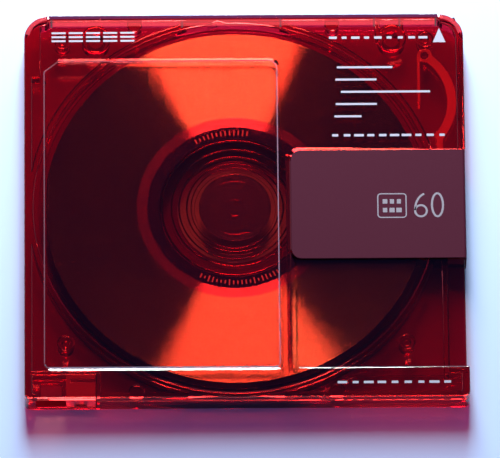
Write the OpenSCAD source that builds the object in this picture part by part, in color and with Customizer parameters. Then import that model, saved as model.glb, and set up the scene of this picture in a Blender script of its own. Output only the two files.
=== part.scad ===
/* [Case] */
// Width of the case, across the way it is pushed in
case_w = 72; // [70:0.5:80]
// Length of the case, along the way it is pushed in
case_l = 68; // [67:0.5:76]
// Thickness of the case
case_t = 5; // [4.9:0.1:6]
// Corner radius at the leading end
lead_corner_r = 4; // [2:0.5:6]
// Corner radius at the trailing end
trail_corner_r = 1; // [0.8:0.1:2]
// Radius that rounds the outer edges
edge_r = 0.35; // [0.2:0.05:0.6]
// Thickness of the outer wall
wall_t = 1.2; // [1:0.1:1.4]
// Thickness of the lower plate
floor_t = 1.1; // [1:0.05:1.3]
// Thickness of the upper plate
roof_t = 1.1; // [1:0.05:1.3]
// Height of the joint line between the halves
joint_z = 3.3; // [2.6:0.1:3.5]
// Gap left along the joint line
joint_gap = 0.04; // [0.02:0.01:0.1]
// Width of the chamfer along the leading edge
lead_chamfer = 0.6; // [0.4:0.1:0.9]
// Where the leading chamfer stops short of each side
lead_chamfer_end = 3.8; // [3:0.2:8]

/* [Disc] */
// Room between the disc's diameter and the case's width
disc_room_w = 8; // [8:0.5:12]
// Least room between the disc's diameter and the case's length
disc_room_l = 4; // [4:0.5:8]
// Thickness of the disc
disc_t = 1.2; // [1:0.05:1.3]
// How far the disc's centre lies left of the case's centre
disc_off = 1.7; // [1.4:0.1:2]
// Diameter of the centre hole
centre_hole_d = 11; // [9:0.5:11.4]
// Radius of the hub ring under the disc
hub_ring_r = 6.6; // [6.4:0.1:7.5]
// How far the hub ring stands below the disc
hub_ring_h = 0.3; // [0.1:0.05:0.5]
// Inner radius of the recording layer
layer_in_r = 12.3; // [11.5:0.1:14]
// Bare margin of the disc outside the recording layer
layer_margin = 1; // [0.5:0.1:2]
// Thickness of the recording layer
layer_t = 0.05; // [0.03:0.01:0.1]
// Diameter of the steel clamping plate
clamp_d = 11.7; // [11.6:0.1:12.4]
// Thickness of the clamping plate
clamp_t = 0.4; // [0.3:0.05:0.5]
// Depth of the seat of the clamping plate in the disc
clamp_seat_d = 0.6; // [0.4:0.05:0.7]
// Radius of the pressed step in the clamping plate
clamp_step_r = 4.8; // [3:0.1:5]
// Height of the pressed step
clamp_step_h = 0.12; // [0.06:0.02:0.2]
// Radius of the dimple in the middle of the clamping plate
clamp_dimple_r = 1.4; // [0.8:0.1:2]

/* [Chamber] */
// Room around the disc
disc_play = 0.9; // [0.6:0.1:1]
// Thickness of the chamber's round wall
chamber_wall = 0.8; // [0.6:0.1:1]
// Radius of the spindle opening in the lower plate
hub_open_r = 9.4; // [8:0.1:9.6]
// Width of the seat ring around the spindle opening
seat_w = 1.2; // [0.8:0.1:1.8]
// Height of the seat ring above the floor
seat_h = 0.9; // [0.7:0.05:1]
// Height at which the disc rests above its seat
disc_lift = 0.15; // [0.1:0.05:0.25]
// Radius of the ring under the upper plate
roof_ring_r = 8; // [7:0.1:9]
// Width of the ring under the upper plate
roof_ring_w = 0.6; // [0.4:0.1:1]
// Height of the ring under the upper plate
roof_ring_h = 0.22; // [0.1:0.02:0.3]

/* [Label recess] */
// Distance of the label recess from the left side
label_left = 3.55; // [3:0.05:5]
// Distance of the label recess from the leading edge
label_front = 8.1; // [7:0.1:10]
// Width of the label recess
label_w = 38.2; // [30:0.2:38.4]
// Length of the label recess
label_l = 54.8; // [40:0.2:55]
// Depth of the label recess
label_d = 0.2; // [0.1:0.05:0.3]
// Cut corner of the label recess
label_cut = 2.05; // [1:0.05:4]
// Corner radius next to the cut corner
label_r1 = 1.6; // [0.8:0.1:3]
// Radius of the two trailing corners
label_r2 = 0.9; // [0.5:0.1:3]
// Width of the sloped rim of the recesses
rim_w = 0.22; // [0.1:0.02:0.3]

/* [Shutter] */
// Width of the shutter along its travel
shutter_w = 19.3; // [18:0.1:20]
// Travel of the shutter
shutter_travel = 19; // [15:0.5:19]
// Thickness of the shutter's sheet
sheet_t = 0.3; // [0.2:0.02:0.34]
// Depth of the shutter's leaves below the faces
leaf_sink = 0.1; // [0.05:0.01:0.15]
// Running gap around the shutter
slide_gap = 0.05; // [0.04:0.01:0.1]
// Depth of the side recess for the shutter's back
side_recess = 0.5; // [0.45:0.01:0.6]
// Reach of the upper leaf from the right side
upper_reach = 28.55; // [24:0.1:28.8]
// Reach of the lower leaf from the right side
lower_reach = 26.4; // [24:0.1:26.4]
// Corner radius of the leaves
leaf_r = 1.6; // [0.8:0.1:3]
// Radius of the folds
fold_r = 0.45; // [0.36:0.02:0.6]
// Width of the lipped channel that the leaves run in
channel_w = 1.5; // [1.3:0.05:1.8]
// How far the leaves reach under the lip
tongue_in = 0.75; // [0.4:0.05:0.9]
// Gap from the shutter to the ends of its recess
end_gap = 0.15; // [0.1:0.05:0.4]
// Gap from a leaf's inner end to the lip
leaf_gap = 0.2; // [0.1:0.05:0.4]

/* [Slider and lock] */
// Width of the slider inside the shutter's back
slider_w = 2.85; // [2.6:0.05:3]
// How far the slider ends short of the shutter's ends
slider_short = 0.25; // [0.15:0.05:3]
// Clearance above and below the slider, the lever and the tab
part_gap = 0.15; // [0.1:0.05:0.25]
// Distance of the lever's pivot from the right side
pivot_in = 6.4; // [6:0.1:6.8]
// Distance of the lever's pivot from the leading edge
pivot_back = 7.2; // [6.8:0.1:8]
// Radius of the lever's pin
pin_r = 0.6; // [0.5:0.05:0.7]
// Running clearance around the pin
pin_gap = 0.05; // [0.03:0.01:0.09]
// Wall of the lever's eye
eye_wall = 0.6; // [0.5:0.05:0.75]
// Width of the lever's arm
arm_w = 1.5; // [1:0.1:1.8]
// Gap from the lever's arm to the side wall
arm_gap = 0.15; // [0.1:0.05:0.4]
// Width of the lever's tip
tip_w = 1; // [0.8:0.1:1.2]
// Length of the lever's hook
hook_l = 1; // [0.6:0.1:1.2]
// Bite of the hook in the slider
hook_bite = 0.7; // [0.4:0.05:0.8]
// Distance of the hook from the slider's leading end
hook_back = 0.7; // [0.5:0.1:1]
// Gap from the lever's tip to the slider
hook_gap = 0.35; // [0.2:0.05:0.5]
// Angle that frees the hook
lock_angle = 3; // [2.5:0.5:3.5]
// Length of the lever's spring leg
spring_l = 8.5; // [6:0.5:9]
// Thickness of the spring leg
spring_t = 0.45; // [0.3:0.05:0.6]
// Height of the groove for the player's opener
opener_h = 1.3; // [1:0.1:1.6]
// Depth of the groove for the player's opener
opener_d = 0.8; // [0.5:0.1:0.9]
// Length of the window where the opener meets the lever
opener_window = 8; // [5:0.5:10]
// How far the opener's groove lies below mid height
opener_drop = 0.3; // [0.1:0.05:0.4]
// Length of the notch in the shutter that the opener catches
catch_l = 1.2; // [0.8:0.1:1.6]
// Depth of the notch in the slider behind that catch
catch_d = 0.5; // [0.3:0.05:0.7]
// Play of the hook in its notch
lock_play = 0.3; // [0.2:0.05:0.35]
// Distance from the slider to the rounded end of the lever's arm
knuckle_off = 3; // [2.5:0.1:3.5]
// How far the rounded end stands out of the arm
knuckle_out = 0.1; // [0.05:0.05:0.15]

/* [Head windows] */
// How far the shutter covers each side of the head windows
window_cover = 1.25; // [1.05:0.05:3]
// Margin from a leaf's end to its window
window_margin = 1.15; // [0.9:0.05:2]
// Distance of the windows from the right side
window_side = 6.3; // [6:0.1:8]

/* [Locating holes and bosses] */
// Half the spacing of the two locating holes
locate_half = 24.25; // [22:0.25:26]
// Distance of the locating holes from the leading edge
locate_back = 3.9; // [3.6:0.1:4.4]
// Radius of the locating holes
locate_r = 1.4; // [1:0.1:1.6]
// Depth of the locating holes
locate_d = 2.4; // [1.6:0.1:2.6]
// Wall around a locating hole
locate_wall = 0.9; // [0.7:0.1:1.1]
// Radius of the weld bosses
boss_r = 1.3; // [1.1:0.1:1.4]
// Radius of the weld pins
weld_pin_r = 0.6; // [0.4:0.05:0.7]
// Depth of the weld pins in their bosses
weld_pin_d = 1.2; // [0.8:0.1:1.6]
// Half the spacing of the leading corner bosses
boss_half = 29.7; // [28.6:0.1:30]
// Distance of the leading corner bosses from the leading edge
boss_back = 4.2; // [3.6:0.1:4.3]
// Distance of the trailing corner bosses from the disc's centre, sideways
rear_boss_x = 27.6; // [27:0.1:28]
// Distance of the trailing corner bosses from the disc's centre, lengthways
rear_boss_y = 24; // [24:0.1:25]
// Radius of the small bosses at the end walls
small_boss_r = 1.1; // [0.8:0.1:1.2]
// Distance of the small bosses from the disc's centre, sideways
small_boss_x = 16.2; // [14:0.2:18]
// Thickness of the ribs in the leading pocket
rib_t = 0.6; // [0.4:0.1:0.8]
// Distance of the outer rib from its locating hole
rib_off = 1.5; // [1:0.1:2]
// Width of the thick wall at the leading left corner
block_w = 2.6; // [2:0.1:3]
// Length of the thick wall at the leading left corner
block_l = 10.6; // [8:0.2:12]

/* [Protect tab] */
// Distance of the tab's slot from the left side
tab_slot_in = 1.9; // [1.6:0.1:2.4]
// Length of the tab's slot
tab_slot_l = 9.7; // [9:0.1:10.5]
// Width of the tab
tab_w = 4.8; // [4.4:0.1:5]
// Depth of the tab's room inside the wall
tab_room = 3.3; // [3:0.1:3.5]
// Gap around the tab
tab_gap = 0.1; // [0.05:0.05:0.2]
// Radius of the thumb dent in the tab
dent_r = 1.5; // [1:0.1:2]
// Depth of the thumb dent
dent_d = 0.45; // [0.2:0.05:0.6]
// Thickness of the tab's spring arm
tab_arm_t = 0.7; // [0.5:0.05:0.8]
// Width of the slit behind the tab's spring arm
tab_slit = 0.6; // [0.4:0.05:0.8]
// Width of the sensing hole under the tab's room
sense_w = 3.4; // [2.5:0.1:3.6]
// Length of the sensing hole under the tab's room
sense_l = 2.2; // [1.5:0.1:2.4]

/* [Hidden] */
shell_red = [0.55, 0.03, 0.09];
fine = 96;
small = 48;
over = 1;
lap = 0.1;

half_w = case_w / 2;
half_l = case_l / 2;
disc_r = min(case_w - disc_room_w, case_l - disc_room_l) / 2;
disc_x = -disc_off;
chamber_r = disc_r + disc_play;
chamber_out_r = chamber_r + chamber_wall;
floor_z = floor_t;
roof_z = case_t - roof_t;
lower_top = joint_z - joint_gap / 2;
upper_bottom = joint_z + joint_gap / 2;
seat_z = floor_z + seat_h;
disc_z = seat_z + disc_lift;
disc_top = disc_z + disc_t;
clamp_z = disc_top - clamp_seat_d;
centre_hole_r = centre_hole_d / 2;
clamp_r = clamp_d / 2;

label_x0 = -half_w + label_left;
label_x1 = label_x0 + label_w;
label_y1 = half_l - label_front;
label_y0 = label_y1 - label_l;

recess_d = leaf_sink + sheet_t + slide_gap;
side_x = half_w - side_recess;
back_in = side_x + slide_gap;
back_out = back_in + sheet_t;
travel_y1 = shutter_w / 2 + end_gap;
travel_y0 = -shutter_w / 2 - shutter_travel - end_gap;
upper_leaf_x = half_w - upper_reach;
lower_leaf_x = half_w - lower_reach;
channel_d = recess_d + sheet_t + 2 * slide_gap;
part_z = floor_z + part_gap;
part_h = roof_z - floor_z - 2 * part_gap;

opener_z = (case_t - opener_h) / 2 - opener_drop;

window_half = shutter_w / 2 - window_cover;

slider_x = back_in - slider_w;
groove_x = slider_x - slide_gap;
slider_y1 = shutter_w / 2 - slider_short;
pivot_x = half_w - pivot_in;
pivot_y = half_l - pivot_back;
eye_r = pin_r + pin_gap + eye_wall;
tip_x1 = slider_x - hook_gap;
tip_x = tip_x1 - tip_w / 2;
hook_y1 = slider_y1 - hook_back;
hook_y0 = hook_y1 - hook_l;
tip_top_y = slider_y1 + knuckle_off;
belly_x = half_w - wall_t - arm_gap - arm_w / 2;
lever_swing = (pivot_y - hook_y0) * sin(lock_angle);
pocket_x = tip_x - tip_w / 2 - lever_swing - part_gap / 2;

boss_places = [for (s = [-1, 1]) [s * boss_half, half_l - boss_back],
               for (s = [-1, 1]) [disc_x + s * rear_boss_x, -rear_boss_y]];
locate_places = [for (s = [-1, 1]) [s * locate_half, half_l - locate_back]];
small_places = [for (s = [-1, 1], e = [-1, 1])
                [disc_x + s * small_boss_x, e * (half_l - wall_t - small_boss_r / 4)]];
rib_places = [locate_half - locate_r - locate_wall, locate_half + rib_off];

tab_slot_x0 = -half_w + tab_slot_in;
tab_slot_x1 = tab_slot_x0 + tab_slot_l;
tab_y1 = -half_l + wall_t + tab_room;
tab_x1 = tab_slot_x1 - tab_gap;
tab_x0 = tab_x1 - tab_w;

// Circle through three points, as [centre, radius]
function circle_through(a, b, c) =
    let (d = 2 * (a.x * (b.y - c.y) + b.x * (c.y - a.y) + c.x * (a.y - b.y)),
         ux = ((a * a) * (b.y - c.y) + (b * b) * (c.y - a.y) + (c * c) * (a.y - b.y)) / d,
         uy = ((a * a) * (c.x - b.x) + (b * b) * (a.x - c.x) + (c * c) * (b.x - a.x)) / d,
         centre = [ux, uy])
    [centre, norm(a - centre)];

// Rectangle between two corners
module rect(x0, y0, x1, y1) {
    translate([x0, y0]) square([x1 - x0, y1 - y0]);
}

// Box between two heights over a rectangle
module block(x0, y0, z0, x1, y1, z1) {
    translate([x0, y0, z0]) cube([x1 - x0, y1 - y0, z1 - z0]);
}

// Outline of the case, drawn in by a margin
module case_2d(inset = 0) {
    w = half_w - inset;
    l = half_l - inset;
    lead = max(lead_corner_r - inset, 0.3);
    trail = max(trail_corner_r - inset, 0.2);
    wide = max(lead, trail);
    rect(-w, -l + trail, w, l - lead);
    rect(-w + wide, -l, w - wide, l);
    rect(-w + trail, -l, w - trail, 0);
    rect(-w + lead, 0, w - lead, l);
    for (s = [-1, 1]) {
        translate([s * (w - lead), l - lead]) circle(lead, $fn = small);
        translate([s * (w - trail), -l + trail]) circle(trail, $fn = small);
    }
}

// Waste outside a rounded edge whose centre is at the origin
module edge_waste_2d() {
    difference() {
        square(edge_r + over);
        circle(edge_r, $fn = small);
    }
}

// Straight waste for an edge that runs along X, from 0 to a length
module edge_run(length) {
    rotate([90, 0, 90]) linear_extrude(length) edge_waste_2d();
}

// Quarter of waste round a corner of the case
module edge_corner(r) {
    rotate_extrude(angle = 90, $fn = small) translate([max(r - edge_r, 0.01), 0]) edge_waste_2d();
}

// Everything outside the rounded upper edges of the case
module edge_rounding() {
    z = case_t - edge_r;
    for (s = [0, 1]) mirror([s, 0, 0]) {
        translate([half_w - lead_corner_r, half_l - lead_corner_r, z]) edge_corner(lead_corner_r);
        translate([half_w - trail_corner_r, -half_l + trail_corner_r, z])
            rotate([0, 0, -90]) edge_corner(trail_corner_r);
        translate([half_w - edge_r, half_l - lead_corner_r, z])
            rotate([0, 0, -90]) edge_run(case_l - lead_corner_r - trail_corner_r);
        translate([-over / 2, half_l - edge_r, z]) edge_run(half_w - lead_corner_r + over / 2);
        translate([half_w - trail_corner_r, -half_l + edge_r, z])
            rotate([0, 0, 180]) edge_run(half_w - trail_corner_r + over / 2);
    }
}

// Plain body of one half between two heights
module case_body(z0, z1) {
    translate([0, 0, z0]) linear_extrude(z1 - z0) case_2d();
}

// Hollows outside the round chamber, the same in both halves
module pockets_2d() {
    difference() {
        case_2d(wall_t);
        translate([disc_x, 0]) circle(chamber_out_r, $fn = fine);
        for (p = boss_places) translate(p) circle(boss_r, $fn = small);
        for (p = locate_places) translate(p) circle(locate_r + locate_wall, $fn = small);
        for (p = small_places) translate(p) circle(small_boss_r, $fn = small);
        for (x = rib_places) rect(x - rib_t / 2, half_l - locate_back, x + rib_t / 2, half_l);
        rect(-half_w, half_l - block_l, -half_w + block_w, half_l);
        rect(groove_x - chamber_wall, travel_y0 - over, groove_x, hook_y0 - lock_play);
        rect(groove_x - chamber_wall, travel_y0 - chamber_wall, half_w, travel_y0);
        rect(-half_w, tab_y1, tab_slot_x1 + rib_t, tab_y1 + rib_t);
        rect(tab_slot_x1, -half_l, tab_slot_x1 + rib_t, tab_y1 + rib_t);
    }
}

// Room inside the case between two heights: chamber, pockets, groove and slot
module inner_room(z0, z1) {
    h = z1 - z0;
    translate([disc_x, 0, z0]) cylinder(h = h, r = chamber_r, $fn = fine);
    translate([0, 0, z0]) linear_extrude(h) pockets_2d();
    block(groove_x, travel_y0, z0, half_w + over, travel_y1, z1);
    block(pocket_x, hook_y0 - lock_play, z0, groove_x + over, tip_top_y, z1);
    block(tab_slot_x0, -half_l - over, z0, tab_slot_x1, tab_y1, z1);
}

// Outline of the label recess, grown by a margin
module label_2d(grow = 0) {
    hull() {
        translate([label_x0 + label_cut, label_y1]) circle(grow + 0.01, $fn = small);
        translate([label_x0, label_y1 - label_cut]) circle(grow + 0.01, $fn = small);
        translate([label_x1 - label_r1, label_y1 - label_r1]) circle(label_r1 + grow, $fn = small);
        for (x = [label_x0 + label_r2, label_x1 - label_r2])
            translate([x, label_y0 + label_r2]) circle(label_r2 + grow, $fn = small);
    }
}

// Label recess with its sloped rim, cut down from the upper face
module label_recess() {
    translate([0, 0, case_t - label_d]) hull() {
        linear_extrude(0.001) label_2d(0);
        translate([0, 0, label_d]) linear_extrude(over) label_2d(rim_w);
    }
}

// Outline of the shutter's recess, open towards the right side
module recess_2d(left) {
    r = leaf_r + slide_gap;
    rect(left, travel_y0 + r, half_w + over, travel_y1 - r);
    rect(left + r, travel_y0, half_w + over, travel_y1);
    for (y = [travel_y0 + r, travel_y1 - r]) translate([left + r, y]) circle(r, $fn = small);
}

// Section of the sloped rim, with the wall of the recess at the origin
module rim_2d() {
    polygon([[-lap, -(rim_w + lap) / 2], [rim_w, 0], [rim_w, over], [-lap, over]]);
}

// Sloped rim round the shutter's recess
module recess_rim(left) {
    r = leaf_r + slide_gap;
    for (s = [0, 1]) translate([0, (travel_y0 + travel_y1) / 2, case_t]) mirror([0, s, 0])
        translate([left + r, (travel_y1 - travel_y0) / 2 - r, 0]) {
            rotate([0, 0, 90]) rotate_extrude(angle = 90, $fn = small) translate([r, 0]) rim_2d();
            rotate([0, 0, 90]) translate([r, 0, 0]) rotate([90, 0, 0])
                linear_extrude(half_w - left - r + over) rim_2d();
        }
    translate([left, travel_y0 + r, case_t]) rotate([90, 0, 180])
        linear_extrude(travel_y1 - travel_y0 - 2 * r) rim_2d();
}

// Recess, lipped channel and window for a leaf, cut down from the upper face
module leaf_recess(leaf_x) {
    channel_x = leaf_x - tongue_in - 2 * slide_gap;
    translate([0, 0, case_t - recess_d]) linear_extrude(recess_d + over) recess_2d(leaf_x - leaf_gap);
    recess_rim(leaf_x - leaf_gap);
    block(channel_x, travel_y0 + leaf_r / 2, case_t - channel_d,
          channel_x + channel_w, travel_y1 - leaf_r / 2, case_t - recess_d + slide_gap);
    block(leaf_x + window_margin, -window_half, 0, half_w - window_side, window_half, case_t + over);
}

// Side recess for the shutter's back, through the whole thickness
module back_recess() {
    block(side_x, travel_y0, -over, half_w + over, travel_y1, case_t + over);
}

// Groove in the right side for the opener, with its window to the lever
module opener_groove() {
    mid_y = (pivot_y + tip_top_y) / 2;
    block(half_w - opener_d, travel_y1 - over, opener_z, half_w + over, half_l + over, opener_z + opener_h);
    block(half_w - wall_t - over, mid_y - opener_window / 2, opener_z,
          half_w, mid_y + opener_window / 2, opener_z + opener_h);
}

// Long chamfer along the leading edge
module lead_bevel() {
    translate([-half_w + lead_chamfer_end, half_l, case_t]) rotate([90, 0, 90])
        linear_extrude(case_w - 2 * lead_chamfer_end)
            polygon([[-lead_chamfer, over], [-lead_chamfer, 0], [0, -lead_chamfer],
                     [over, -lead_chamfer], [over, over]]);
}

// Upper half of the case, with the label recess and the weld pins
module upper_shell() {
    color(shell_red, 0.6) {
        difference() {
            case_body(upper_bottom, case_t);
            edge_rounding();
            inner_room(upper_bottom - over, roof_z);
            label_recess();
            difference() {
                leaf_recess(upper_leaf_x);
                block(-half_w, -half_l, 0, half_w, half_l, joint_z - over);
            }
            back_recess();
            lead_bevel();
        }
        translate([disc_x, 0, roof_z - roof_ring_h]) difference() {
            cylinder(h = roof_ring_h + lap, r = roof_ring_r + roof_ring_w, $fn = fine);
            translate([0, 0, -over]) cylinder(h = 3 * over, r = roof_ring_r, $fn = fine);
            block(upper_leaf_x - disc_x - over, -disc_r, -over, disc_r, disc_r, case_t);
        }
        for (p = boss_places) translate([p.x, p.y, upper_bottom - weld_pin_d])
            cylinder(h = weld_pin_d + lap, r = weld_pin_r, $fn = small);
    }
}

// Lower half of the case, with the spindle opening, the bosses and the lever's pin
module lower_shell() {
    color(shell_red, 0.6) {
        difference() {
            union() {
                difference() {
                    case_body(0, lower_top);
                    translate([0, 0, case_t]) mirror([0, 0, 1]) edge_rounding();
                    inner_room(floor_z, lower_top + over);
                }
                translate([disc_x, 0, floor_z - lap])
                    cylinder(h = seat_h + lap, r = hub_open_r + seat_w, $fn = fine);
            }
            translate([disc_x, 0, -over])
                cylinder(h = seat_z + 2 * over, r = hub_open_r, $fn = fine);
            difference() {
                translate([0, 0, case_t]) mirror([0, 0, 1]) leaf_recess(lower_leaf_x);
                block(-half_w, -half_l, joint_z + over, half_w, half_l, case_t + 2 * over);
            }
            back_recess();
            opener_groove();
            for (p = locate_places) translate([p.x, p.y, -over])
                cylinder(h = locate_d + over, r = locate_r, $fn = small);
            for (p = boss_places) translate([p.x, p.y, lower_top - weld_pin_d - part_gap])
                cylinder(h = weld_pin_d + over, r = weld_pin_r + pin_gap, $fn = small);
            translate([(tab_slot_x0 + tab_x0 - sense_w) / 2, tab_y1 - (tab_room + sense_l) / 2, -over])
                cube([sense_w, sense_l, floor_z + 2 * over]);
        }
        translate([pivot_x, pivot_y, floor_z - lap])
            cylinder(h = part_gap + part_h + lap, r = pin_r, $fn = small);
    }
}

// Clear disc with its hub ring and the seat of the clamping plate
module disc_substrate() {
    color([0.75, 0.2, 0.3]) translate([disc_x, 0, 0]) difference() {
        union() {
            translate([0, 0, disc_z]) cylinder(h = disc_t, r = disc_r, $fn = fine);
            translate([0, 0, disc_z - hub_ring_h])
                cylinder(h = hub_ring_h + lap, r = hub_ring_r, $fn = fine);
        }
        translate([0, 0, -over]) cylinder(h = case_t, r = centre_hole_r, $fn = fine);
        translate([0, 0, clamp_z]) cylinder(h = case_t, r = clamp_r + slide_gap, $fn = fine);
    }
}

// Mirror layer on the disc's upper face
module recording_layer() {
    color([0.25, 0.05, 0.12]) translate([disc_x, 0, disc_top]) difference() {
        cylinder(h = layer_t, r = disc_r - layer_margin, $fn = fine);
        translate([0, 0, -over]) cylinder(h = 3 * over, r = layer_in_r, $fn = fine);
    }
}

// Stamped plate in the middle of the disc
module clamping_plate() {
    color([0.5, 0.5, 0.53]) translate([disc_x, 0, clamp_z]) rotate_extrude($fn = fine)
        difference() {
            union() {
                rect(0, 0, clamp_r, clamp_t - clamp_step_h);
                rect(0, 0, clamp_step_r, clamp_t);
            }
            rect(-over, clamp_t / 2, clamp_dimple_r, case_t);
        }
}

// Outline of a leaf, from its inner end to the start of the fold
module leaf_2d(left) {
    right = back_out - fold_r;
    straight = shutter_w / 2 - leaf_r;
    rect(left, -straight, right, straight);
    rect(left + leaf_r, -shutter_w / 2, right, shutter_w / 2);
    for (s = [-1, 1]) translate([left + leaf_r, s * straight]) circle(leaf_r, $fn = small);
}

// One leaf with the tongue that runs under the lip, at the upper face
module leaf(left) {
    tongue_half = shutter_w / 2 - leaf_r - end_gap;
    top = case_t - leaf_sink;
    low = top - 2 * sheet_t - slide_gap;
    translate([0, 0, top - sheet_t]) linear_extrude(sheet_t) leaf_2d(left);
    block(left + slide_gap, -tongue_half, low, left + slide_gap + sheet_t, tongue_half, top - sheet_t / 2);
    block(left - tongue_in, -tongue_half, low, left + slide_gap + sheet_t, tongue_half, low + sheet_t);
}

// Section of the shutter's folded back, seen along its travel
module back_2d() {
    z0 = leaf_sink;
    z1 = case_t - leaf_sink;
    inner_r = fold_r - sheet_t;
    x0 = back_out - fold_r - 0.2;
    difference() {
        union() {
            rect(x0, z0, back_out - fold_r, z1);
            rect(x0, z0 + fold_r, back_out, z1 - fold_r);
            for (z = [z0 + fold_r, z1 - fold_r]) translate([back_out - fold_r, z])
                circle(fold_r, $fn = small);
        }
        rect(x0 - over, z0 + sheet_t, back_out - fold_r, z1 - sheet_t);
        rect(x0 - over, z0 + fold_r, back_in, z1 - fold_r);
        for (z = [z0 + fold_r, z1 - fold_r]) translate([back_out - fold_r, z])
            circle(inner_r, $fn = small);
    }
}

// Sheet folded round the right side, with a tongue on each leaf
module shutter() {
    color([0.34, 0.17, 0.22]) difference() {
        union() {
            leaf(upper_leaf_x);
            translate([0, 0, case_t]) mirror([0, 0, 1]) leaf(lower_leaf_x);
            translate([0, shutter_w / 2, 0]) rotate([90, 0, 0]) linear_extrude(shutter_w) back_2d();
        }
        block(back_in - over, shutter_w / 2 - catch_l, opener_z,
              half_w + over, shutter_w / 2 + over, opener_z + opener_h);
    }
}

// Slider inside the shutter's fold, with the notch for the hook
module shutter_slider() {
    color([0.3, 0.05, 0.1]) difference() {
        block(slider_x, -slider_y1, part_z, back_in, slider_y1, part_z + part_h);
        block(slider_x - over, hook_y0 - lock_play, 0,
              slider_x + hook_bite + part_gap, hook_y1 + part_gap, case_t);
        block(back_in - catch_d, slider_y1 - catch_l, 0, half_w, slider_y1 + over, case_t);
    }
}

// Lever with its eye, curved arm, hook and spring leg
module lock_lever() {
    pivot = [pivot_x, pivot_y];
    top = [tip_x, tip_top_y];
    arc = circle_through(pivot, [belly_x, (pivot_y + tip_top_y) / 2], top);
    centre = arc[0];
    r = arc[1];
    a1 = atan2(pivot_y - centre.y, pivot_x - centre.x);
    a0 = atan2(top.y - centre.y, top.x - centre.x);
    color([0.75, 0.1, 0.12]) translate([0, 0, part_z]) difference() {
        union() {
            translate(pivot) cylinder(h = part_h, r = eye_r, $fn = small);
            translate([centre.x, centre.y, 0]) rotate([0, 0, a0])
                rotate_extrude(angle = a1 - a0, $fn = fine) rect(r - arm_w / 2, 0, r + arm_w / 2, part_h);
            translate(top) cylinder(h = part_h, r = arm_w / 2 + knuckle_out, $fn = small);
            block(tip_x - tip_w / 2, hook_y0, 0, tip_x1, top.y, part_h);
            block(tip_x, hook_y0, 0, slider_x + hook_bite, hook_y1, part_h);
            block(pivot_x - eye_r, pivot_y - spring_l, 0, pivot_x - eye_r + spring_t, pivot_y, part_h);
        }
        translate([pivot_x, pivot_y, -over]) cylinder(h = case_t, r = pin_r + pin_gap, $fn = small);
    }
}

// Sliding tab with a thumb dent and a spring arm
module protect_tab() {
    y0 = -half_l + tab_gap / 2;
    slit_y1 = tab_y1 - tab_gap - tab_arm_t;
    color([0.5, 0.05, 0.1]) difference() {
        block(tab_x0, y0, part_z, tab_x1, tab_y1 - tab_gap, part_z + part_h);
        translate([(tab_x0 + tab_x1) / 2, y0 - dent_r + dent_d, 0])
            cylinder(h = case_t, r = dent_r, $fn = small);
        block(tab_x0 + tab_arm_t, slit_y1 - tab_slit, 0, tab_x1 + over, slit_y1, case_t);
    }
}

upper_shell();
lower_shell();
disc_substrate();
recording_layer();
clamping_plate();
shutter();
shutter_slider();
lock_lever();
protect_tab();
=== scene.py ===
"""Looks of a translucent mini disc cartridge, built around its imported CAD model."""

import logging
import math
from dataclasses import dataclass, field
from enum import Enum
from typing import Callable, Iterable, Optional, Sequence

import bmesh
import bpy
from bmesh.types import BMEdge, BMesh, BMFace, BMVert
from bpy.types import Curve, ID, Material, Node, NodeOutputs, NodeSocket, NodeTree, Object
from mathutils import Matrix, Vector


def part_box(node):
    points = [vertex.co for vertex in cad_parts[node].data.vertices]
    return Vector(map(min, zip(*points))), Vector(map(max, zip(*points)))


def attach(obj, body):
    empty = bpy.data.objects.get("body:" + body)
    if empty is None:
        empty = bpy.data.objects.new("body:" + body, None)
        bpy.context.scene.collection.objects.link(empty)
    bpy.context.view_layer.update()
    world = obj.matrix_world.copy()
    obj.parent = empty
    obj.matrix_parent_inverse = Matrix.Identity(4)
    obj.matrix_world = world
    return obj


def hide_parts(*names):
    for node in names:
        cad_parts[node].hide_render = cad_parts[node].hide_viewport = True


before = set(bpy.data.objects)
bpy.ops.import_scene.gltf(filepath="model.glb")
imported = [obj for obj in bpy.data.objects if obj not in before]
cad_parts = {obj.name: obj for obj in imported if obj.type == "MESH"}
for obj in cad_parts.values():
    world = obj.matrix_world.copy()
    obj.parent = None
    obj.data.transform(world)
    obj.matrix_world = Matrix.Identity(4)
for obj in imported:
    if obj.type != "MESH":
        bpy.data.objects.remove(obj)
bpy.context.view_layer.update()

MM = 0.001

logging.basicConfig(level=logging.INFO, format="%(message)s")
log = logging.getLogger("cartridge")

Colour = tuple[float, float, float]
Point = tuple[float, ...]
Paths = Sequence[tuple[Sequence[Point], bool]]


class Body(Enum):
    """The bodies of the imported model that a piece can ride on."""

    CASE = "case"
    DISC = "disc"
    SHUTTER = "shutter"
    LEVER = "lock_lever"
    TAB = "protect_tab"


class Zone(Enum):
    """The inner rings of the disc, by their outer radius in millimetres."""

    MIRROR = 14.3
    LEAD_IN = 16.0


# Node graph helpers

SOCKET_TYPES = {int: "NodeSocketInt", float: "NodeSocketFloat", tuple: "NodeSocketVector"}


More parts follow.
